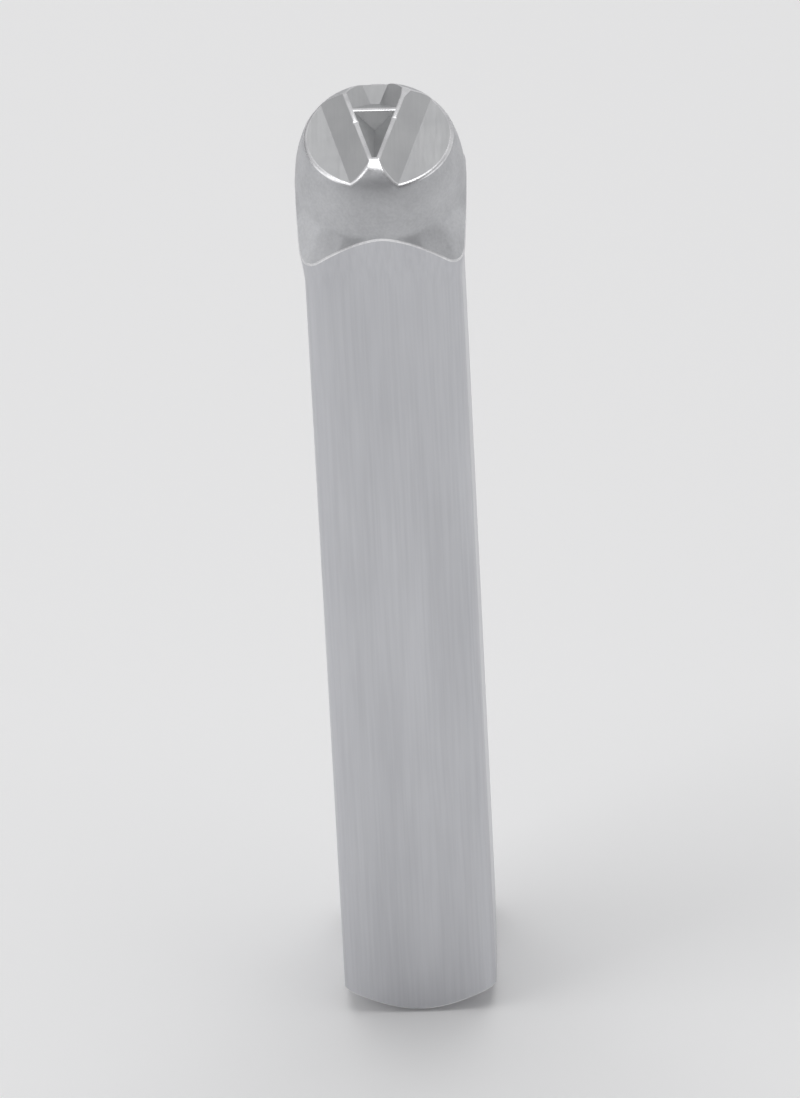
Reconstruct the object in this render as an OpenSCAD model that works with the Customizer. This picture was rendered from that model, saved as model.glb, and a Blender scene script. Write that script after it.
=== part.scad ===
// Steel letter punch, made from one length of square tool steel.
// The upper end is turned down to a round neck, and a raised capital letter is cut on its face.
// The origin is the centre of the struck end, and +Z runs up the punch to the letter.

/* [Shank] */
// Overall length, from the struck end to the face of the letter
punch_length = 70; // [50:1:110]
// Width of the square shank across its flats
across_flats = 9; // [8:0.1:12]
// Radius of the four long corners of the shank
corner_radius = 0.8; // [0.3:0.1:1.6]
// How far each flat swells outwards below the neck
flat_swell = 0.43; // [0:0.01:0.8]
// Length over which the swell fades down the shank
swell_length = 5; // [2:0.5:10]
// How far the struck face is drawn in from the flats by its chamfer
struck_chamfer = 0.3; // [0.1:0.05:1.5]
// Slope of the turned chamfer round the struck end, from the horizontal
struck_chamfer_angle = 45; // [20:5:60]

/* [Neck] */
// How far the neck's largest radius lies inside the swollen flats
neck_step = 0.05; // [0.02:0.01:0.3]
// Height of the neck, from its largest radius to the floor round the letter
neck_height = 3.2; // [2:0.1:8]
// How far the neck draws in between its largest radius and the floor
neck_draw = 0.62; // [0.4:0.02:0.9]
// Slope of the shoulder, from the vertical
shoulder_angle = 31; // [20:1:50]
// Radius that blends the neck into the shoulder
shoulder_fillet = 1; // [0.4:0.1:3]
// Radius of the rounded tip, between the neck and the chamfer
tip_round_radius = 1.7; // [0.8:0.1:2]
// How far the chamfer draws the letter's face in from the neck's radius at the floor
face_inset = 1.06; // [0.6:0.02:1.8]
// Slope of the chamfer round the letter's face, from the horizontal
tip_chamfer_angle = 40; // [30:1:45]

/* [Letter] */
// Distance from the axis to the point where the centre lines of the two legs meet
apex_reach = 3.65; // [2.5:0.05:4.2]
// Angle between each leg of the letter and its line of symmetry
leg_angle = 15.5; // [10:0.5:24]
// Distance of the crossbar from the axis, towards the feet
crossbar_reach = 1.15; // [0:0.05:2]
// How far the letter stands above the floor
letter_relief = 1; // [0.6:0.05:1.3]
// Width of the flat top of a stroke
stroke_width = 0.25; // [0.1:0.05:0.6]
// Slope of a stroke's flanks, from the horizontal
flank_angle = 37; // [25:1:60]
// Sideways offset of the letter from the axis of the punch
letter_offset = -0.2; // [-0.6:0.05:0.6]
// Turn of the letter about the axis of the punch
letter_turn = -0.5; // [-8:0.5:8]

/* [Hidden] */
steel_colour = [0.66, 0.67, 0.69];
// Number of straight steps in each curve of a profile
curve_steps = 8;
// Number of sides that a full circle is drawn with
circle_sides = 96;
// Distance that a cutting body runs past what it cuts
overrun = 1;
// Half the length of a body that crosses the whole tip
reach = 2 * across_flats;

floor_z = punch_length - letter_relief;
neck_base_z = floor_z - neck_height;
half_flat = across_flats / 2;
crest = half_flat + flat_swell;
corner_centre = half_flat - corner_radius;
// Radius that clears the corners of the swollen bar
clear_radius = crest * sqrt(2);

// Points on an arc, from just past its first angle to its last, both measured from the outward radius
function arc(centre, radius, first, last) = [
    for (step = [1:curve_steps])
        let (angle = first + (last - first) * step / curve_steps)
            centre + radius * [cos(angle), sin(angle)]
];

// Distance from the axis to a flat at a height, with the swell that fades down the shank
function flat_distance(z) =
    let (faded = min(max((neck_base_z - z) / swell_length, 0), 1))
        half_flat + flat_swell * (1 + cos(180 * faded)) / 2;

// Side outline of the bar, from a vertical line at an inset out to its swollen flat
function flat_outline(inset) = concat(
    [[0, 0], [half_flat - inset, 0]],
    [
        for (step = [0:curve_steps])
            let (z = neck_base_z - swell_length * (1 - step / curve_steps))
                [flat_distance(z) - inset, z]
    ],
    [[crest - inset, punch_length + overrun], [0, punch_length + overrun]]
);

// The part of an outline that is off the axis, closed by its mirror image
function both_sides(outline) =
    let (right = [for (point = outline) if (point[0] > 0) point])
        concat(right, [for (i = [len(right) - 1:-1:0]) [-right[i][0], right[i][1]]]);

// Long arc of the neck, which is upright at the shoulder and leans in towards the tip
neck_radius = crest - neck_step;
neck_arc_radius = (neck_height ^ 2 + neck_draw ^ 2) / (2 * neck_draw);
neck_centre = [neck_radius - neck_arc_radius, neck_base_z];

// Rounded tip, tangent to the neck's arc inside it and to the chamfer round the letter's face
face_edge = [neck_radius - neck_draw - face_inset, punch_length];
chamfer_normal = [sin(tip_chamfer_angle), cos(tip_chamfer_angle)];
chamfer_run = [-cos(tip_chamfer_angle), sin(tip_chamfer_angle)];
across_run = (face_edge - neck_centre) * chamfer_normal - tip_round_radius;
along_run = sqrt((neck_arc_radius - tip_round_radius) ^ 2 - across_run ^ 2);
tip_offset = across_run * chamfer_normal - along_run * chamfer_run;
tip_start_angle = atan2(tip_offset[1], tip_offset[0]);

// Shoulder cone, blended into the foot of the neck
fillet_centre = [neck_radius + shoulder_fillet, neck_base_z];
shoulder_top = fillet_centre - shoulder_fillet * [cos(shoulder_angle), sin(shoulder_angle)];
shoulder_base_z = shoulder_top[1] - (clear_radius - shoulder_top[0]) / tan(shoulder_angle);

// Turned chamfer at the struck end
struck_radius = half_flat - struck_chamfer;
chamfer_top_z = (clear_radius - struck_radius) * tan(struck_chamfer_angle);

// Half section of the turning, from the struck end up the shank to the face of the tip
turned_outline = concat(
    [
        [0, 0],
        [struck_radius, 0],
        [clear_radius, chamfer_top_z],
        [clear_radius, shoulder_base_z],
        shoulder_top
    ],
    arc(fillet_centre, shoulder_fillet, 180 + shoulder_angle, 180),
    arc(neck_centre, neck_arc_radius, 0, tip_start_angle),
    arc(neck_centre + tip_offset, tip_round_radius, tip_start_angle, 90 - tip_chamfer_angle),
    [face_edge, [0, punch_length]]
);

// Square bar with round corners, its flats swollen where the neck was formed
module swollen_bar() {
    for (turn = [0, 90])
        rotate([90, 0, turn])
            linear_extrude(height = 2 * corner_centre, center = true)
                polygon(both_sides(flat_outline(0)));
    for (x = [-1, 1], y = [-1, 1])
        translate([x * corner_centre, y * corner_centre, 0])
            rotate_extrude($fn = circle_sides)
                polygon(flat_outline(corner_centre));
}

// The bar after turning: struck end chamfered, neck and shoulder formed, letter not yet cut
module turned_blank() {
    intersection() {
        swollen_bar();
        rotate_extrude($fn = circle_sides)
            polygon(turned_outline);
    }
}

// Section of a stroke: a narrow flat top and a flank down each side, or solid metal where one is left out
module stroke_section(left_flank, right_flank) {
    drop = letter_relief + overrun;
    half_top = stroke_width / 2;
    half_foot = half_top + drop / tan(flank_angle);
    left = left_flank ? [half_foot, half_top] : [reach, reach];
    right = right_flank ? [half_foot, half_top] : [reach, reach];
    polygon([
        [-left[0], punch_length - drop],
        [right[0], punch_length - drop],
        [right[1], punch_length],
        [right[1], punch_length + 2 * overrun],
        [-left[1], punch_length + 2 * overrun],
        [-left[1], punch_length]
    ]);
}

// A straight run of stroke along Y, long enough to cross the whole tip
module stroke(left_flank = true, right_flank = true) {
    rotate([90, 0, 0])
        linear_extrude(height = 2 * reach, center = true)
            stroke_section(left_flank, right_flank);
}

// One leg of the letter, on the left at side -1 and on the right at side 1
module leg(side, inner_flank = true) {
    translate([0, -apex_reach, 0])
        rotate([0, 0, -side * leg_angle])
            stroke(left_flank = inner_flank || side < 0, right_flank = inner_flank || side > 0);
}

// The letter as a body that runs past the blank above and below
module letter_form() {
    translate([letter_offset, 0, 0])
        rotate([0, 0, letter_turn])
            intersection() {
                leg(-1, inner_flank = false);
                leg(1, inner_flank = false);
                union() {
                    leg(-1);
                    leg(1);
                    translate([0, crossbar_reach, 0])
                        rotate([0, 0, 90])
                            stroke();
                }
            }
}

// Steel that is cut away round the letter, down to the floor
module letter_waste() {
    difference() {
        translate([-reach, -reach, floor_z])
            cube([2 * reach, 2 * reach, letter_relief + overrun]);
        letter_form();
    }
}

// The finished punch
module punch() {
    color(steel_colour)
        difference() {
            turned_blank();
            letter_waste();
        }
}

punch();
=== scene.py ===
"""Studio scene of a steel letter punch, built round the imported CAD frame.

The punch is one bar of tool steel. Its visible shape is modelled again from the sizes of the CAD
part, with narrower ridges on the letter and with its outside edges worn round. Each surface gets
the finish that its own making left on it. All sizes are in metres.
"""

import logging
import math
from dataclasses import dataclass, field
from enum import Enum, IntEnum

import bmesh
import bpy
from mathutils import Euler, Matrix, Vector


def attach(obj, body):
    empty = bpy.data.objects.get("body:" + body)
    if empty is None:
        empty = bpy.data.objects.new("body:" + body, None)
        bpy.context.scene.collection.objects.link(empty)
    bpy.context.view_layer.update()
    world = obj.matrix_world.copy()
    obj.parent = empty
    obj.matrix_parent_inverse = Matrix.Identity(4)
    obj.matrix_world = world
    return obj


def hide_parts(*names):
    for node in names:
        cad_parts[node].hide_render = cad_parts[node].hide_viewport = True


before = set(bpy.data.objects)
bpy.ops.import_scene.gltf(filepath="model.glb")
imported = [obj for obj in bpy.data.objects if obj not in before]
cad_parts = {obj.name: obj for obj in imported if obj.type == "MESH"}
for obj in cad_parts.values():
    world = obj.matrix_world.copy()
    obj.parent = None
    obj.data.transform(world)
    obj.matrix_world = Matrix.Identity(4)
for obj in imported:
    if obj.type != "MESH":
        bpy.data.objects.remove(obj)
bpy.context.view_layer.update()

LOG = logging.getLogger("punch_scene")
MM = 0.001
# Distance within which a corner counts as lying on a cutting plane
ON_PLANE = 1e-8
# Corners that are closer than this are one corner
SAME_PLACE = 1e-7

Colour = tuple[float, float, float]
Span = tuple[float, float]
Plane = tuple[Vector, Vector]
MeshPart = bmesh.types.BMVert | bmesh.types.BMEdge | bmesh.types.BMFace


class Surface(Enum):
    """The surfaces of the punch, each with the material slot that its finish goes into."""

    GROUND_FLAT = 0
    BLASTED_NECK = 1
    DIE_FACET = 2
    WORN_EDGE = 3
    TURNED_END = 4
    # Facets in the letter's closed gap: a darker copy of the die facets, painted shade for the
    # hollow
    SUNK_FACET_PAINTED_SHADE = 5


class Cut(Enum):
    """How one solid is combined with another."""

    KEEP_SHARED = "INTERSECT"
    TAKE_AWAY = "DIFFERENCE"


class Leg(IntEnum):
    """The two legs of the letter, each as the sign of its side."""

    LEFT = -1
    RIGHT = 1


class Towards(IntEnum):
    """The two ways along the letter, each as its sign."""

    APEX = -1
    FEET = 1


class Role(IntEnum):
    """What a corner of the mesh is to the sharp edges that meet in it."""

    PLAIN = 0
    ALONG_EDGE = 1
    EDGE_END = 2


class Workpiece:
    """A bmesh solid on its way to becoming a finished piece."""

    def __init__(self, name: str) -> None:
        """Starts an empty solid, and names its mesh and its object."""
        self.name = name
        self.mesh = bmesh.new()

    def paint(self, surface: Surface) -> None:
        """Marks every face as one surface."""
        for face in self.mesh.faces:
            face.material_index = surface.value

    def everything(self) -> list[MeshPart]:
        """Collects all corners, edges and faces."""
        return self.mesh.verts[:] + self.mesh.edges[:] + self.mesh.faces[:]

    def above(self, height: float) -> list[MeshPart]:
        """Collects the faces above a height, with their edges and corners.

        Args:
            height: The lowest height that counts.

        Returns:
            The parts, as bmesh operators take them.
        """
        faces = [f for f in self.mesh.faces if f.calc_center_median().z > height]
        edges = dict.fromkeys(edge for face in faces for edge in face.edges)
        verts = dict.fromkeys(vert for face in faces for vert in face.verts)
        return [*verts, *edges, *faces]

    def bisect(
        self,
        parts: list[MeshPart],
        point: Vector,
        normal: Vector,
        snap: float = ON_PLANE,
        trims: bool = False,
    ) -> list[bmesh.types.BMEdge]:
        """Cuts new edges where a plane crosses the solid.

        Args:
            parts: The parts that are cut.
            point: A point of the plane.
            normal: The plane's normal.
            snap: Distance within which a corner counts as lying on the plane.
            trims: Whether the side behind the plane is deleted.

        Returns:
            The edges that lie in the plane.
        """
        cut = bmesh.ops.bisect_plane(
            self.mesh, geom=parts, dist=snap, plane_co=point, plane_no=normal, clear_inner=trims
        )
        return [part for part in cut["geom_cut"] if isinstance(part, bmesh.types.BMEdge)]

    def slice_at(self, height: float) -> None:
        """Cuts a ring of edges round the solid at a height."""
        self.bisect(self.everything(), Vector((0, 0, height)), Vector((0, 0, 1)))

    def slice_round(self, height: float, sides: int) -> None:
        """Cuts upright edges in the planes that a turned solid has its own edges in.

        Args:
            height: Only faces above this height are cut.
            sides: Number of sides of the turned solid.
        """
        for step in range(sides // 2):
            angle = math.tau * step / sides
            across = Vector((-math.sin(angle), math.cos(angle), 0))
            self.bisect(self.above(height), Vector(), across)

    def trim(self, point: Vector, outward: Vector) -> None:
        """Cuts the solid with a plane, keeps the side that the normal points to and closes it.

        Args:
            point: A point of the plane.
            outward: The plane's normal, towards the side that stays.
        """
        rim = self.bisect(self.everything(), point, outward, trims=True)
        if rim:
            bmesh.ops.edgeloop_fill(self.mesh, edges=rim)

    def heal(self, distance: float = SAME_PLACE) -> None:
        """Merges corners that nearly touch and turns every face outwards.

        Args:
            distance: Corners closer than this become one.
        """
        bmesh.ops.remove_doubles(self.mesh, verts=self.mesh.verts, dist=distance)
        bmesh.ops.recalc_face_normals(self.mesh, faces=self.mesh.faces)
        if self.mesh.calc_volume(signed=True) < 0:
            bmesh.ops.reverse_faces(self.mesh, faces=self.mesh.faces)

    def put_in_order(self) -> None:
        """Sorts edges and faces by their corners, because operators list them in no fixed order."""
        self.mesh.verts.index_update()
        for parts in (self.mesh.edges, self.mesh.faces):
            ordered = sorted(parts, key=lambda part: sorted(vert.index for vert in part.verts))
            rank = {part: number for number, part in enumerate(ordered)}
            parts.sort(key=rank.get)

    def place(self) -> bpy.types.Object:
        """Writes the solid to an object at the origin.

        Returns:
            The new object.
        """
        data = bpy.data.meshes.new(self.name)
        self.mesh.to_mesh(data)
        made = bpy.data.objects.new(self.name, data)
        bpy.context.scene.collection.objects.link(made)
        for surface in Surface:
            data.materials.append(finish_slot(surface))
        return made

    def combine(self, other: "Workpiece", cut: Cut) -> None:
        """Cuts this solid with another one, which is used up.

        Args:
            other: The solid to cut with.
            cut: Whether the shared part is kept or taken away.
        """
        body, tool = self.place(), other.place()
        modifier = body.modifiers.new("cut", "BOOLEAN")
        modifier.operation = cut.value
        modifier.object = tool
        modifier.solver = "EXACT"
        modifier.material_mode = "INDEX"
        drawn = body.evaluated_get(bpy.context.evaluated_depsgraph_get())
        self.mesh.clear()
        self.mesh.from_mesh(drawn.data)
        other.mesh.free()
        for used in (body, tool):
            data = used.data
            bpy.data.objects.remove(used)
            bpy.data.meshes.remove(data)


def finish_slot(surface: Surface) -> bpy.types.Material:
    """Finds the material that dresses a surface and has its name, or starts an empty one."""
    name = surface.name.lower()
    return bpy.data.materials.get(name) or bpy.data.materials.new(name)


class OutlinePen:
    """Draws the half section of a turned part and revolves it, with bmesh operators alone."""

    def __init__(self, name: str, height: float) -> None:
        """Starts the outline on the axis.

        Args:
            name: Name of the turned solid.
            height: Height of the first point.
        """
        self.work = Workpiece(name)
        start = bmesh.ops.create_vert(self.work.mesh, co=(0, 0, height))
        self.last = start["vert"][0]

    def line_to(self, radius: float, height: float) -> None:
        """Draws a straight line.

        Args:
            radius: Distance of the line's end from the axis.
            height: Height of the line's end.
        """
        grown = bmesh.ops.extrude_vert_indiv(self.work.mesh, verts=[self.last])
        self.last = grown["verts"][0]
        self.last.co = (radius, 0, height)

    def arc(self, centre: Vector, degrees: float, steps: int) -> None:
        """Draws an arc from the last point.

        Args:
            centre: Centre of the arc in the plane of the outline.
            degrees: Angle of the arc, positive when it turns from outwards to upwards.
            steps: Number of straight steps in the arc.
        """
        turned = bmesh.ops.spin(
            self.work.mesh,
            geom=[self.last],
            cent=centre,
            axis=(0, -1, 0),
            angle=math.radians(degrees),
            steps=steps,
            use_merge=False,
        )
        ends = [part for part in turned["geom_last"] if isinstance(part, bmesh.types.BMVert)]
        self.last = ends[0]

    def revolve(self, sides: int) -> Workpiece:
        """Turns the outline once round the axis.

        Args:
            sides: Number of sides of the turned solid.

        Returns:
            The closed solid.
        """
        outline = self.work.mesh.verts[:] + self.work.mesh.edges[:]
        bmesh.ops.spin(
            self.work.mesh,
            geom=outline,
            cent=(0, 0, 0),
            axis=(0, 0, 1),
            angle=math.tau,
            steps=sides,
            use_merge=True,
        )
        self.work.heal()
        return self.work


@dataclass
class Blank:
    """The bar after turning: chamfered struck end, square shank, shoulder, neck and domed tip."""

    length: float = 70 * MM
    half_flat: float = 4.5 * MM
    corner_radius: float = 0.8 * MM
    swell: float = 0.43 * MM
    swell_length: float = 5 * MM
    struck_chamfer: float = 0.3 * MM
    neck_step: float = 0.05 * MM
    neck_height: float = 3.2 * MM
    neck_draw: float = 0.62 * MM
    shoulder_degrees: float = 31
    shoulder_fillet: float = 1 * MM
    tip_round: float = 1.7 * MM
    face_inset: float = 1.06 * MM
    chamfer_degrees: float = 40
    relief: float = 1 * MM
    sides: int = 120
    corner_segments: int = 10
    swell_rings: int = 16
    plain_rings: int = 7
    fillet_steps: int = 4
    neck_steps: int = 8
    tip_steps: int = 3
    overrun: float = 1 * MM

    @property
    def floor_height(self) -> float:
        """Height of the floor round the letter."""
        return self.length - self.relief

    @property
    def neck_base(self) -> float:
        """Height at which the neck is widest."""
        return self.floor_height - self.neck_height

    @property
    def swell_foot(self) -> float:
        """Height at which the flats begin to swell."""
        return self.neck_base - self.swell_length

    @property
    def arch_foot(self) -> float:
        """Height of the last whole ring below the arches on the flats."""
        return self.swell_foot + self.swell_length * self.plain_rings / self.swell_rings

    @property
    def clear_radius(self) -> float:
        """Radius that clears the corners of the swollen bar."""
        return (self.half_flat + self.swell) * math.sqrt(2)

    def swell_at(self, height: float) -> float:
        """Works out how far the flats stand out at a height above the struck end."""
        faded = min(max((self.neck_base - height) / self.swell_length, 0), 1)
        return self.swell * (1 + math.cos(math.pi * faded)) / 2

    def bar(self) -> Workpiece:
        """Shapes the square bar with round corners, its flats swollen below the neck.

        Returns:
            The bar, longer than the punch at both ends.
        """
        work = Workpiece("bar")
        bmesh.ops.create_cube(work.mesh, size=1)
        span = self.length + 2 * self.overrun
        place = Matrix.Translation((0, 0, self.length / 2))
        scale = Matrix.Diagonal((2 * self.half_flat, 2 * self.half_flat, span, 1))
        bmesh.ops.transform(work.mesh, matrix=place @ scale, verts=work.mesh.verts)
        upright = [e for e in work.mesh.edges if abs(e.verts[0].co.z - e.verts[1].co.z) > span / 2]
        bmesh.ops.bevel(
            work.mesh,
            geom=upright,
            offset=self.corner_radius,
            offset_type="OFFSET",
            affect="EDGES",
            segments=self.corner_segments,
            profile=0.5,
            material=-1,
        )
        for ring in range(self.swell_rings + 1):
            work.slice_at(self.swell_foot + self.swell_length * ring / self.swell_rings)
        work.slice_round(self.arch_foot, self.sides)
        centre = self.half_flat - self.corner_radius
        for vert in work.mesh.verts:
            held = Vector([min(max(value, -centre), centre) for value in vert.co.xy])
            outward = vert.co.xy - held
            if outward.length > 0:
                vert.co.xy = held + outward * (1 + self.swell_at(vert.co.z) / outward.length)
        work.heal()
        work.paint(Surface.GROUND_FLAT)
        return work

    def turning(self) -> Workpiece:
        """Shapes the turned solid that the bar is cut to.

        Returns:
            The turned solid, wide enough to leave the shank's flats alone.
        """
        chamfer = math.radians(self.chamfer_degrees)
        shoulder = math.radians(self.shoulder_degrees)
        neck_radius = self.half_flat + self.swell - self.neck_step
        arc_radius = (self.neck_height**2 + self.neck_draw**2) / (2 * self.neck_draw)
        neck_centre = Vector((neck_radius - arc_radius, 0, self.neck_base))
        face_edge = Vector((neck_radius - self.neck_draw - self.face_inset, 0, self.length))
        normal = Vector((math.sin(chamfer), 0, math.cos(chamfer)))
        run = Vector((-math.cos(chamfer), 0, math.sin(chamfer)))
        across = (face_edge - neck_centre).dot(normal) - self.tip_round
        along = math.sqrt((arc_radius - self.tip_round) ** 2 - across**2)
        tip_offset = across * normal - along * run
        tip_start = math.degrees(math.atan2(tip_offset.z, tip_offset.x))
        fillet_centre = Vector((neck_radius + self.shoulder_fillet, 0, self.neck_base))
        top_radius = fillet_centre.x - self.shoulder_fillet * math.cos(shoulder)
        top_height = fillet_centre.z - self.shoulder_fillet * math.sin(shoulder)
        drop = (self.clear_radius - top_radius) / math.tan(shoulder)
        struck_radius = self.half_flat - self.struck_chamfer

        pen = OutlinePen("turning", 0)
        pen.line_to(struck_radius, 0)
        pen.line_to(self.clear_radius, self.clear_radius - struck_radius)
        pen.line_to(self.clear_radius, top_height - drop)
        pen.line_to(top_radius, top_height)
        pen.arc(fillet_centre, -self.shoulder_degrees, self.fillet_steps)
        pen.arc(neck_centre, tip_start, self.neck_steps)
        tip_turn = 90 - self.chamfer_degrees - tip_start
        pen.arc(neck_centre + tip_offset, tip_turn, self.tip_steps)
        pen.line_to(face_edge.x, face_edge.z)
        pen.line_to(0, self.length)
        work = pen.revolve(self.sides)
        work.paint(Surface.BLASTED_NECK)
        for face in work.mesh.faces:
            if face.calc_center_median().z < self.length / 2:
                face.material_index = Surface.TURNED_END.value
        return work

    def forge(self) -> Workpiece:
        """Cuts the bar to the turning.

        Returns:
            The blank, with no letter on it yet.
        """
        work, turning = self.bar(), self.turning()
        work.put_in_order()
        turning.put_in_order()
        work.combine(turning, Cut.KEEP_SHARED)
        return work


@dataclass(frozen=True)
class Nick:
    """A shallow dent that a knock left in the ridge of a leg."""

    leg: Leg
    reach: float
    depth: float
    radius: float = 0.4 * MM
    length: float = 1.2 * MM
    sides: int = 24


@dataclass
class CapitalLetter:
    """The raised capital A, left standing when the steel round its strokes is cut away."""

    blank: Blank
    apex_reach: float = 3.65 * MM
    leg_degrees: float = 15.5
    crossbar_reach: float = 1.15 * MM
    stroke_width: float = 0.17 * MM
    flank_degrees: float = 37
    offset: float = -0.2 * MM
    turn_degrees: float = -0.5
    blunt_reach: float = 2.85 * MM
    apex_wear: float = 2.99 * MM
    apex_wear_degrees: float = 27
    foot_wear: tuple[float, float] = (1.62 * MM, 2.2 * MM)
    foot_heading: tuple[float, float] = (0.6, 0.8)
    foot_wear_degrees: float = 10
    nicks: tuple[Nick, ...] = (
        Nick(Leg.LEFT, reach=0.16 * MM, depth=0.045 * MM),
        Nick(Leg.RIGHT, reach=0.43 * MM, depth=0.03 * MM),
    )
    stock: float = 12 * MM
    face_skin: float = 0.002 * MM
    face_snap: float = 0.001 * MM

    @property
    def seat(self) -> Matrix:
        """Where the letter stands on the tip and how it is turned."""
        turn = Matrix.Rotation(math.radians(self.turn_degrees), 4, "Z")
        return Matrix.Translation((self.offset, 0, 0)) @ turn

    def plane(
        self, point: tuple[float, float], outward: tuple[float, float], degrees: float
    ) -> Plane:
        """Places a plane that slopes down from the letter's face.

        Args:
            point: A point of the plane, on the letter's face.
            outward: Direction in which the plane slopes down.
            degrees: Slope of the plane, from the horizontal.

        Returns:
            A point of the plane and its normal, out of the metal.
        """
        slope = math.radians(degrees)
        normal = Vector((*outward, 0)).normalized() * math.sin(slope)
        normal.z = math.cos(slope)
        return self.seat @ Vector((*point, self.blank.length)), self.seat.to_3x3() @ normal

    def flank(self, point: tuple[float, float], outward: tuple[float, float]) -> Plane:
        """Places the sloping flank at one side of a stroke.

        Args:
            point: A point on the centre line of the stroke.
            outward: Direction across the stroke, towards the flank.

        Returns:
            A point of the flank and its normal, out of the metal.
        """
        half = self.stroke_width / 2
        edge = (point[0] + outward[0] * half, point[1] + outward[1] * half)
        return self.plane(edge, outward, self.flank_degrees)

    def outer(self, leg: Leg) -> Plane:
        """Places the outer flank of a leg."""
        lean = math.radians(self.leg_degrees)
        return self.flank((0, -self.apex_reach), (leg * math.cos(lean), -math.sin(lean)))

    def inner(self, leg: Leg) -> Plane:
        """Places the inner flank of a leg."""
        lean = math.radians(self.leg_degrees)
        return self.flank((0, -self.apex_reach), (-leg * math.cos(lean), math.sin(lean)))

    def crossbar(self, way: Towards) -> Plane:
        """Places a flank of the crossbar."""
        return self.flank((0, self.crossbar_reach), (0, way))

    def blunt(self) -> Plane:
        """Places the small flank that blunts the closed gap in the letter towards the apex."""
        return self.flank((0, -self.blunt_reach), (0, Towards.FEET))

    def waste(self, name: str, flanks: list[Plane], surface: Surface) -> Workpiece:
        """Shapes one region of steel that is cut away, at the most down to the floor.

        Args:
            name: Name of the region.
            flanks: The flanks that bound it.
            surface: The surface that the cut leaves.

        Returns:
            The region as a closed solid.
        """
        work = Workpiece(name)
        bmesh.ops.create_cube(work.mesh, size=2 * self.stock)
        lift = Matrix.Translation((0, 0, self.blank.floor_height + self.stock))
        bmesh.ops.transform(work.mesh, matrix=lift, verts=work.mesh.verts)
        for point, normal in flanks:
            work.trim(point, normal)
        work.heal()
        work.paint(surface)
        return work

    def cut_into(self, work: Workpiece) -> None:
        """Cuts the letter on the tip of the blank.

        Args:
            work: The blank, which becomes the punch.
        """
        inside = [self.inner(Leg.LEFT), self.inner(Leg.RIGHT)]
        closed = [*inside, self.crossbar(Towards.APEX), self.blunt()]
        apex = self.plane((0, -self.apex_wear), (0, Towards.APEX), self.apex_wear_degrees)
        foot = self.plane(self.foot_wear, self.foot_heading, self.foot_wear_degrees)
        regions = [
            ("left_waste", Surface.DIE_FACET, [self.outer(Leg.LEFT)]),
            ("right_waste", Surface.DIE_FACET, [self.outer(Leg.RIGHT)]),
            # The closed gap's facets get the darker sunk finish, which is painted shade
            ("closed_gap", Surface.SUNK_FACET_PAINTED_SHADE, closed),
            ("feet_gap", Surface.DIE_FACET, [*inside, self.crossbar(Towards.FEET)]),
            ("apex_facet", Surface.WORN_EDGE, [apex]),
            ("foot_facet", Surface.WORN_EDGE, [foot]),
        ]
        for name, surface, flanks in regions:
            work.combine(self.waste(name, flanks, surface), Cut.TAKE_AWAY)
        for nick in self.nicks:
            work.combine(self.dent(nick), Cut.TAKE_AWAY)
        self.part_face(work)
        LOG.info("letter cut: %d faces", len(work.mesh.faces))

    def dent(self, nick: Nick) -> Workpiece:
        """Shapes the steel that a nick takes out of the ridge of a leg.

        Args:
            nick: Place and size of the nick.

        Returns:
            A short round bar that lies across the leg.
        """
        work = Workpiece("nick")
        bmesh.ops.create_cone(
            work.mesh,
            cap_ends=True,
            segments=nick.sides,
            radius1=nick.radius,
            radius2=nick.radius,
            depth=nick.length,
        )
        lean = math.radians(self.leg_degrees)
        across = nick.leg * math.tan(lean) * (self.apex_reach + nick.reach)
        height = self.blank.length + nick.radius - nick.depth
        place = self.seat @ Matrix.Translation((across, nick.reach, height))
        place = place @ Matrix.Rotation(-nick.leg * lean, 4, "Z")
        place = place @ Matrix.Rotation(math.pi / 2, 4, "Y")
        bmesh.ops.transform(work.mesh, matrix=place, verts=work.mesh.verts)
        work.heal()
        work.paint(Surface.WORN_EDGE)
        return work

    def part_face(self, work: Workpiece) -> None:
        """Marks the letter's face as worn, and parts it where strokes meet, so that it has no hole.

        Args:
            work: The punch with its letter cut.
        """
        top = self.blank.length - self.face_skin
        for face in work.mesh.faces:
            if face.calc_center_median().z > top:
                face.material_index = Surface.WORN_EDGE.value
        half = self.stroke_width / 2
        crossbar = (self.crossbar_reach - half, self.crossbar_reach + half)
        for reach in (half - self.blunt_reach, *crossbar):
            point, normal = self.plane((0, reach), (0, Towards.FEET), 90)
            for edge in work.bisect(work.above(top), point, normal, snap=self.face_snap):
                edge.seam = True


def surfaces_at(edge: bmesh.types.BMEdge) -> set[Surface]:
    """Lists the surfaces that meet in an edge."""
    return {Surface(face.material_index) for face in edge.link_faces}


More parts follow.
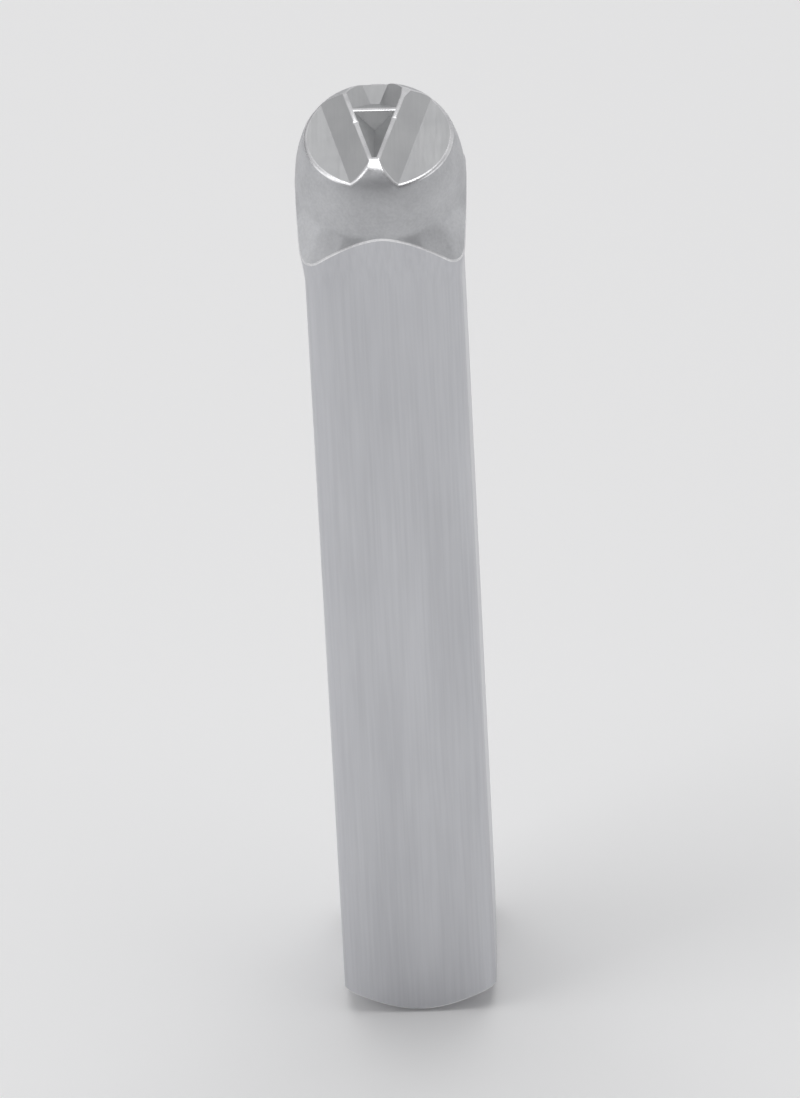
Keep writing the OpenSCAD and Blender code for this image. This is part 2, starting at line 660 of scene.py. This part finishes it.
@dataclass
class EdgeWear:
    """Breaks the sharp edges by rounding them, as handling wears them."""

    blank: Blank
    widest: float = 0.2 * MM
    share_at_neck: float = 0.7
    share_at_ridge: float = 0.25
    share_at_flat: float = 0.45
    share_at_floor: float = 0.75
    share_at_feet: float = 0.3
    share_at_apex: float = 0.7
    sharp_degrees: float = 14
    shallow_degrees: float = 50
    flat_degrees: float = 0.2
    crease_degrees: float = 12
    chain_step: float = 0.14 * MM
    clear_step: float = 0.22 * MM
    plain_step: float = 0.03 * MM
    seam_gap: float = 0.001 * MM
    speck: float = 0.002 * MM
    height_margin: float = 0.01 * MM
    clearing_rounds: int = 3
    welding_rounds: int = 12
    segments: int = 3
    shading_weight: int = 80

    def prepare(self, work: Workpiece) -> None:
        """Makes the mesh even along its sharp edges, so that they can be rounded.

        Args:
            work: The punch as it was cut.
        """
        mesh = work.mesh
        work.heal(self.seam_gap)
        cut = {Surface.DIE_FACET, Surface.SUNK_FACET_PAINTED_SHADE, Surface.WORN_EDGE}
        flat = [edge for edge in mesh.edges if surfaces_at(edge) <= cut]
        bmesh.ops.dissolve_limit(
            mesh,
            angle_limit=math.radians(self.flat_degrees),
            verts=list(dict.fromkeys(vert for edge in flat for vert in edge.verts)),
            edges=flat,
            delimit={"MATERIAL", "SEAM"},
        )
        self.clear_rings(mesh)
        for _ in range(self.clearing_rounds):
            self.clear_shallow(mesh)
            self.weld_short(mesh)

    def clear_rings(self, mesh: bmesh.types.BMesh) -> None:
        """Takes out the level edges on the flats between the arches' feet and tops.

        Args:
            mesh: The mesh of the punch.
        """
        low, high = self.blank.arch_foot + self.height_margin, self.blank.neck_base
        rings = []
        for edge in mesh.edges:
            first, second = (vert.co.z for vert in edge.verts)
            level = abs(first - second) < self.speck
            if level and low < first < high and surfaces_at(edge) == {Surface.GROUND_FLAT}:
                rings.append(edge)
        bmesh.ops.dissolve_edges(mesh, edges=rings, use_verts=True)

    def clear_shallow(self, mesh: bmesh.types.BMesh) -> None:
        """Takes out the plain edges that run into a sharp edge at a shallow angle.

        Args:
            mesh: The mesh of the punch.
        """
        limit = math.radians(self.shallow_degrees)
        sharp = set(self.sharp(mesh))
        shallow = set()
        for vert in mesh.verts:
            chain = [edge for edge in vert.link_edges if edge in sharp]
            if not chain:
                continue
            for edge in set(vert.link_edges) - sharp:
                run = edge.other_vert(vert).co - vert.co
                if any(run.angle(e.other_vert(vert).co - vert.co, 0) < limit for e in chain):
                    shallow.add(edge)
        cleared = [edge for edge in mesh.edges if edge in shallow]
        bmesh.ops.dissolve_edges(mesh, edges=cleared, use_verts=False)
        kept = {vert for edge in self.sharp(mesh) for vert in edge.verts}
        loose = [v for v in mesh.verts if len(v.link_edges) == 2 and v not in kept]
        bmesh.ops.dissolve_verts(mesh, verts=loose)

    def weld_short(self, mesh: bmesh.types.BMesh) -> None:
        """Welds the ends of short edges, towards the end that matters more.

        Args:
            mesh: The mesh of the punch.
        """
        roles = {0: Role.PLAIN, 2: Role.ALONG_EDGE}
        for _ in range(self.welding_rounds):
            sharp = set(self.sharp(mesh))
            role = {}
            for vert in mesh.verts:
                lines = sum(edge in sharp for edge in vert.link_edges)
                role[vert] = roles.get(lines, Role.EDGE_END)
            targets, busy = {}, set()
            for edge in sorted(mesh.edges, key=lambda e: e.calc_length()):
                keep, drop = sorted(edge.verts, key=lambda v: -role[v])
                limit = self.clear_step if role[drop] == Role.PLAIN else self.chain_step
                limit = self.plain_step if role[keep] == Role.PLAIN else limit
                if edge.calc_length() > limit or role[drop] == Role.EDGE_END:
                    continue
                apart = role[drop] != Role.PLAIN and edge not in sharp
                if apart or keep in busy or drop in busy:
                    continue
                targets[drop] = keep
                busy |= {keep, drop}
            if not targets:
                break
            bmesh.ops.weld_verts(mesh, targetmap=targets)

    def sharp(self, mesh: bmesh.types.BMesh) -> list[bmesh.types.BMEdge]:
        """Lists the edges that are sharp enough to be broken.

        Args:
            mesh: The mesh of the punch.

        Returns:
            The edges between two surfaces, and the ones between two facets or turned faces.
        """
        mesh.normal_update()
        limit = math.radians(self.sharp_degrees)
        broken = {Surface.DIE_FACET, Surface.SUNK_FACET_PAINTED_SHADE, Surface.TURNED_END}
        listed = []
        for edge in mesh.edges:
            met = surfaces_at(edge)
            bends = edge.calc_face_angle(0) > limit
            if self.on_arch(edge) or bends and (len(met) > 1 or met <= broken):
                listed.append(edge)
        return listed

    def on_arch(self, edge: bmesh.types.BMEdge) -> bool:
        """Tells whether an edge lies where the neck's turning meets a flat."""
        return surfaces_at(edge) == {Surface.GROUND_FLAT, Surface.BLASTED_NECK}

    def hollow(self, edge: bmesh.types.BMEdge) -> bool:
        """Tells whether a sharp edge is an inside corner, which nothing wears."""
        return not edge.is_convex and not self.on_arch(edge)

    def width_of(self, edge: bmesh.types.BMEdge) -> float:
        """Works out how much of an edge is worn away.

        Args:
            edge: The sharp edge.

        Returns:
            A share of the widest break, from 0 to 1.
        """
        met = surfaces_at(edge)
        middle = (edge.verts[0].co + edge.verts[1].co) / 2
        if Surface.WORN_EDGE in met:
            return self.share_at_neck if Surface.BLASTED_NECK in met else self.share_at_ridge
        if met & {Surface.GROUND_FLAT, Surface.TURNED_END}:
            return self.share_at_flat
        if middle.z < self.blank.floor_height + self.height_margin:
            return self.share_at_floor
        return self.share_at_feet if middle.y > 0 else self.share_at_apex

    def mark(self, work: Workpiece) -> None:
        """Writes the width of each worn edge where the bevel reads it.

        Args:
            work: The punch, ready for its edges.
        """
        layer = work.mesh.edges.layers.float.new("bevel_weight_edge")
        for edge in self.sharp(work.mesh):
            if not self.hollow(edge):
                edge[layer] = self.width_of(edge)

    def wear(self, piece: bpy.types.Object) -> None:
        """Rounds the marked edges and keeps the inside corners crisp.

        Args:
            piece: The piece, which gets the worn mesh.
        """
        bevel = piece.modifiers.new("worn_edges", "BEVEL")
        bevel.limit_method = "WEIGHT"
        bevel.offset_type = "OFFSET"
        bevel.width = self.widest
        bevel.segments = self.segments
        bevel.profile = 0.5
        bevel.use_clamp_overlap = False
        bevel.loop_slide = False
        bevel.material = Surface.WORN_EDGE.value
        worn = Workpiece(piece.name)
        drawn = piece.evaluated_get(bpy.context.evaluated_depsgraph_get())
        worn.mesh.from_mesh(drawn.data)
        piece.modifiers.remove(bevel)
        worn.heal(self.speck)
        bmesh.ops.dissolve_degenerate(worn.mesh, dist=self.speck, edges=worn.mesh.edges)
        worn.heal(self.speck)
        for vert in worn.mesh.verts:
            vert.co.z = min(vert.co.z, self.blank.length)
        self.crease(worn.mesh)
        worn.mesh.to_mesh(piece.data)
        worn.mesh.free()
        weighted = piece.modifiers.new("even_shading", "WEIGHTED_NORMAL")
        weighted.weight = self.shading_weight
        weighted.keep_sharp = True

    def crease(self, mesh: bmesh.types.BMesh) -> None:
        """Marks the inside corners, so that their two sides are shaded apart.

        Args:
            mesh: The mesh with its outside edges rounded.
        """
        mesh.normal_update()
        limit = math.radians(self.crease_degrees)
        for edge in mesh.edges:
            inside = edge.is_manifold and not edge.is_convex
            edge.smooth = not (inside and edge.calc_face_angle() > limit)


class NodeDesk:
    """Lays out the nodes of one material or world."""

    def __init__(self, tree: bpy.types.NodeTree) -> None:
        """Clears the node tree that it works on."""
        self.tree = tree
        tree.nodes.clear()

    def node(self, kind: str, **values: object) -> bpy.types.Node:
        """Adds a node.

        Args:
            kind: Blender's name for the kind of node.
            **values: Properties of the node, or sockets where no property has the name.

        Returns:
            The new node.
        """
        made = self.tree.nodes.new(kind)
        for name, value in values.items():
            if hasattr(made, name):
                setattr(made, name, value)
            else:
                made.inputs[name.replace("_", " ")].default_value = value
        return made

    def join(self, source: bpy.types.NodeSocket, target: bpy.types.NodeSocket) -> None:
        """Links an output to an input."""
        self.tree.links.new(source, target)

    def span(
        self, source: bpy.types.NodeSocket, taken: Span, given: Span = (0, 1)
    ) -> bpy.types.NodeSocket:
        """Maps a value smoothly from one range to another.

        Args:
            source: The value.
            taken: The range that the value is read in.
            given: The range that it is mapped to.

        Returns:
            The mapped value.
        """
        made = self.node("ShaderNodeMapRange", interpolation_type="SMOOTHSTEP")
        for name, value in zip(("From Min", "From Max", "To Min", "To Max"), (*taken, *given)):
            made.inputs[name].default_value = value
        self.join(source, made.inputs["Value"])
        return made.outputs["Result"]

    def blend(
        self,
        share: float | bpy.types.NodeSocket,
        first: Colour | bpy.types.NodeSocket,
        second: Colour | bpy.types.NodeSocket,
    ) -> bpy.types.NodeSocket:
        """Mixes two colours.

        Args:
            share: How much of the second colour shows, from 0 to 1.
            first: The first colour.
            second: The second colour.

        Returns:
            The mixed colour.
        """
        made = self.node("ShaderNodeMix", data_type="RGBA")
        tones = [socket for socket in made.inputs if socket.type == "RGBA"]
        for socket, value in zip((made.inputs["Factor"], *tones), (share, first, second)):
            if isinstance(value, bpy.types.NodeSocket):
                self.join(value, socket)
            else:
                socket.default_value = value if isinstance(value, float) else (*value, 1)
        return next(socket for socket in made.outputs if socket.type == "RGBA")


@dataclass(frozen=True)
class Grain:
    """A fine noise pattern in the metal, stretched along the direction that made it."""

    per_mm: tuple[float, float, float]
    detail: float = 4
    coarseness: float = 0.55
    turn: tuple[float, float, float] = (0, 0, 0)

    def draw(self, desk: NodeDesk) -> bpy.types.NodeSocket:
        """Adds the pattern to a material.

        Args:
            desk: The material's nodes.

        Returns:
            The pattern, from 0 to 1.
        """
        where = desk.node("ShaderNodeTexCoord")
        placed = desk.node("ShaderNodeMapping", vector_type="POINT")
        placed.inputs["Scale"].default_value = [value / MM for value in self.per_mm]
        placed.inputs["Rotation"].default_value = Euler(map(math.radians, self.turn))
        made = desk.node(
            "ShaderNodeTexNoise", Scale=1.0, Detail=self.detail, Roughness=self.coarseness
        )
        desk.join(where.outputs["Object"], placed.inputs["Vector"])
        desk.join(placed.outputs["Vector"], made.inputs["Vector"])
        return made.outputs["Fac"]


@dataclass(frozen=True)
class SteelFinish:
    """A finish on the steel: its tones, how they drift, and the marks of the tool."""

    surface: Surface
    light: Colour
    dark: Colour
    drift: Grain
    marks: Grain
    gloss: Span
    mark_height: float = 0.003 * MM
    mark_tone: float = 0.5
    mark_share: float = 0.45
    tone_contrast: Span = (0.3, 0.7)
    gloss_contrast: Span = (0.25, 0.75)

    def apply(self) -> None:
        """Builds the finish in the material of its surface."""
        material = finish_slot(self.surface)
        material.use_nodes = True
        desk = NodeDesk(material.node_tree)
        drift = desk.span(self.drift.draw(desk), self.tone_contrast)
        marks = self.marks.draw(desk)
        toned = desk.blend(drift, self.dark, self.light)
        fine = desk.span(marks, self.tone_contrast, (0, self.mark_tone))
        marked = desk.blend(fine, self.light, self.dark)
        colour = desk.blend(self.mark_share, toned, marked)
        bump = desk.node("ShaderNodeBump", Strength=1.0, Distance=self.mark_height)
        desk.join(marks, bump.inputs["Height"])
        steel = desk.node("ShaderNodeBsdfPrincipled", Metallic=1.0)
        desk.join(colour, steel.inputs["Base Color"])
        rough = desk.span(marks, self.gloss_contrast, self.gloss)
        desk.join(rough, steel.inputs["Roughness"])
        desk.join(bump.outputs["Normal"], steel.inputs["Normal"])
        output = desk.node("ShaderNodeOutputMaterial")
        desk.join(steel.outputs["BSDF"], output.inputs["Surface"])
        LOG.info("finish %s", self.surface.name.lower())


FINISHES = (
    SteelFinish(
        surface=Surface.GROUND_FLAT,
        light=(0.63, 0.635, 0.66),
        dark=(0.54, 0.545, 0.57),
        drift=Grain((0.35, 0.35, 0.05), detail=3),
        marks=Grain((7, 7, 0.12), detail=5),
        gloss=(0.3, 0.42),
        mark_height=0.002 * MM,
        mark_tone=0.6,
    ),
    SteelFinish(
        surface=Surface.BLASTED_NECK,
        light=(0.64, 0.645, 0.66),
        dark=(0.52, 0.525, 0.54),
        drift=Grain((0.45, 0.45, 0.45), detail=3),
        marks=Grain((6, 6, 6)),
        gloss=(0.47, 0.57),
        mark_height=0.008 * MM,
        mark_tone=0.55,
    ),
    SteelFinish(
        surface=Surface.DIE_FACET,
        light=(0.63, 0.635, 0.64),
        dark=(0.52, 0.525, 0.535),
        drift=Grain((0.35, 0.35, 0.35), detail=3),
        marks=Grain((8, 0.5, 0.5), turn=(0, 0, 8)),
        gloss=(0.3, 0.42),
        mark_tone=0.35,
    ),
    # Darker copy of the die facet finish: painted shade in the letter's closed gap
    SteelFinish(
        surface=Surface.SUNK_FACET_PAINTED_SHADE,
        light=(0.50, 0.505, 0.51),
        dark=(0.38, 0.385, 0.39),
        drift=Grain((0.5, 0.5, 0.5), detail=3),
        marks=Grain((8, 0.5, 0.5), turn=(0, 0, 8)),
        gloss=(0.34, 0.46),
        mark_tone=0.35,
    ),
    SteelFinish(
        surface=Surface.WORN_EDGE,
        light=(0.94, 0.94, 0.95),
        dark=(0.56, 0.56, 0.575),
        drift=Grain((0.55, 0.55, 0.55), detail=2),
        marks=Grain((5, 5, 5), detail=3),
        gloss=(0.25, 0.38),
    ),
    SteelFinish(
        surface=Surface.TURNED_END,
        light=(0.60, 0.60, 0.62),
        dark=(0.48, 0.48, 0.50),
        drift=Grain((0.5, 0.5, 0.5), detail=3),
        marks=Grain((5, 5, 5)),
        gloss=(0.32, 0.45),
        mark_height=0.005 * MM,
    ),
)


@dataclass
class LetterPunch:
    """The whole tool: blank, letter, worn edges and finishes."""

    blank: Blank = field(default_factory=Blank)
    name: str = "letter_punch"

    def build(self) -> bpy.types.Object:
        """Models the punch and puts it in the place of its CAD node.

        Returns:
            The finished piece.
        """
        work = self.blank.forge()
        LOG.info("blank: %d faces", len(work.mesh.faces))
        CapitalLetter(self.blank).cut_into(work)
        wear = EdgeWear(self.blank)
        wear.prepare(work)
        wear.mark(work)
        for face in work.mesh.faces:
            face.smooth = True
        work.name = self.name
        piece = work.place()
        wear.wear(piece)
        return piece

    def dress(self) -> None:
        """Gives every surface its finish."""
        for finish in FINISHES:
            finish.apply()

    def mount(self, piece: bpy.types.Object) -> None:
        """Ties the piece to the frame.

        Args:
            piece: The finished piece.
        """
        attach(piece, "root")
        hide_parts("punch")


def direction(azimuth: float, elevation: float) -> Vector:
    """Points from the punch to a place round it.

    Args:
        azimuth: Angle round the punch in degrees, 0 in front of it and 90 on its right.
        elevation: Angle above the horizon in degrees.

    Returns:
        The unit vector.
    """
    turn, rise = math.radians(azimuth), math.radians(elevation)
    level = math.cos(rise)
    return Vector((math.sin(turn) * level, -math.cos(turn) * level, math.sin(rise)))


@dataclass(frozen=True)
class Softbox:
    """A square studio lamp that faces the punch and is hidden from the camera."""

    name: str
    azimuth: float
    elevation: float
    distance: float
    width: float
    radiance: float

    def hang(self, target: Vector) -> None:
        """Adds the lamp.

        Args:
            target: The point that the lamp faces.
        """
        data = bpy.data.lights.new(self.name, "AREA")
        data.shape = "SQUARE"
        data.size = self.width
        data.energy = self.radiance * math.pi * self.width**2
        lamp = bpy.data.objects.new(self.name, data)
        away = direction(self.azimuth, self.elevation)
        lamp.location = target + away * self.distance
        lamp.rotation_euler = away.to_track_quat("Z", "Y").to_euler()
        lamp.visible_camera = False
        bpy.context.scene.collection.objects.link(lamp)


@dataclass
class Studio:
    """Pale floor, soft light and the camera.

    Each span below is a stretch of the direction that light comes from, measured along one axis
    from -1 to 1, over which one side of the room gives way to the other.
    """

    target: Vector = field(default_factory=lambda: Vector((0, 0, 35 * MM)))
    floor_half: float = 2.5
    floor_colour: Colour = (0.96, 0.96, 0.96)
    floor_roughness: float = 0.9
    camera_azimuth: float = 1.8
    camera_elevation: float = 46
    camera_roll: float = -3
    camera_distance: float = 1.15
    camera_range: Span = (0.01, 20)
    frame_height: float = 64 * MM
    sensor: float = 36
    front_to_back: Span = (-0.35, 0.45)
    left_to_right: Span = (-0.5, 0.4)
    low_to_high: Span = (-0.05, 0.4)
    low_to_high_in_front: Span = (0.15, 0.55)
    low_front: Colour = (0.36, 0.36, 0.365)
    high_front: Colour = (0.2, 0.2, 0.205)
    low_left: Colour = (0.12, 0.12, 0.125)
    low_right: Colour = (0.68, 0.68, 0.685)
    high_back: Colour = (0.6, 0.6, 0.605)
    softboxes: tuple[Softbox, ...] = (
        Softbox("overhead", azimuth=180, elevation=85, distance=0.75, width=0.5, radiance=2.5),
        Softbox("left_high", azimuth=-75, elevation=50, distance=0.9, width=0.35, radiance=1.8),
        Softbox("left_low", azimuth=-80, elevation=18, distance=0.9, width=0.6, radiance=0.8),
        Softbox("right_low", azimuth=80, elevation=18, distance=0.9, width=0.6, radiance=0.65),
    )

    def lay_floor(self) -> None:
        """Adds the floor, which isn't part of the punch."""
        mesh = bmesh.new()
        bmesh.ops.create_grid(mesh, x_segments=1, y_segments=1, size=self.floor_half)
        data = bpy.data.meshes.new("floor")
        mesh.to_mesh(data)
        mesh.free()
        floor = bpy.data.objects.new("floor", data)
        bpy.context.scene.collection.objects.link(floor)
        material = bpy.data.materials.new("floor_paint")
        material.use_nodes = True
        paint = material.node_tree.nodes["Principled BSDF"]
        paint.inputs["Base Color"].default_value = (*self.floor_colour, 1)
        paint.inputs["Roughness"].default_value = self.floor_roughness
        paint.inputs["Specular IOR Level"].default_value = 0.0
        data.materials.append(material)

    def light_room(self) -> None:
        """Fills the room with soft light that is dimmer on the camera's side."""
        world = bpy.data.worlds.new("studio")
        world.use_nodes = True
        bpy.context.scene.world = world
        desk = NodeDesk(world.node_tree)
        where = desk.node("ShaderNodeTexCoord")
        split = desk.node("ShaderNodeSeparateXYZ")
        desk.join(where.outputs["Generated"], split.inputs[0])
        behind = desk.span(split.outputs["Y"], self.front_to_back)
        raised = desk.span(split.outputs["Z"], self.low_to_high)
        right = desk.span(split.outputs["X"], self.left_to_right)
        lifted = desk.span(split.outputs["Z"], self.low_to_high_in_front)
        low = desk.blend(right, self.low_left, self.low_right)
        back = desk.blend(raised, low, self.high_back)
        front = desk.blend(lifted, self.low_front, self.high_front)
        room = desk.blend(behind, front, back)
        glow = desk.node("ShaderNodeBackground", Strength=1.0)
        output = desk.node("ShaderNodeOutputWorld")
        desk.join(room, glow.inputs["Color"])
        desk.join(glow.outputs["Background"], output.inputs["Surface"])
        for box in self.softboxes:
            box.hang(self.target)

    def set_camera(self) -> None:
        """Places a long lens at the photograph's angle, and shows colours as they are lit."""
        data = bpy.data.cameras.new("camera")
        data.sensor_width = self.sensor
        data.lens = self.sensor * self.camera_distance / self.frame_height
        data.clip_start, data.clip_end = self.camera_range
        camera = bpy.data.objects.new("camera", data)
        away = direction(self.camera_azimuth, self.camera_elevation)
        camera.location = self.target + away * self.camera_distance
        level = away.to_track_quat("Z", "Y").to_matrix().to_4x4()
        rolled = level @ Matrix.Rotation(math.radians(self.camera_roll), 4, "Z")
        camera.rotation_euler = rolled.to_euler()
        bpy.context.scene.collection.objects.link(camera)
        bpy.context.scene.camera = camera
        bpy.context.scene.view_settings.view_transform = "Standard"

    def build(self) -> None:
        """Sets up the whole studio."""
        self.lay_floor()
        self.light_room()
        self.set_camera()
        LOG.info("studio: %d softboxes", len(self.softboxes))


def main() -> None:
    """Builds the punch and the studio in order."""
    logging.basicConfig(level=logging.INFO, format="%(name)s: %(message)s")
    punch = LetterPunch()
    piece = punch.build()
    punch.dress()
    punch.mount(piece)
    LOG.info("piece %s: %d faces with its edges worn", piece.name, len(piece.data.polygons))
    Studio().build()


if __name__ == "__main__":
    main()
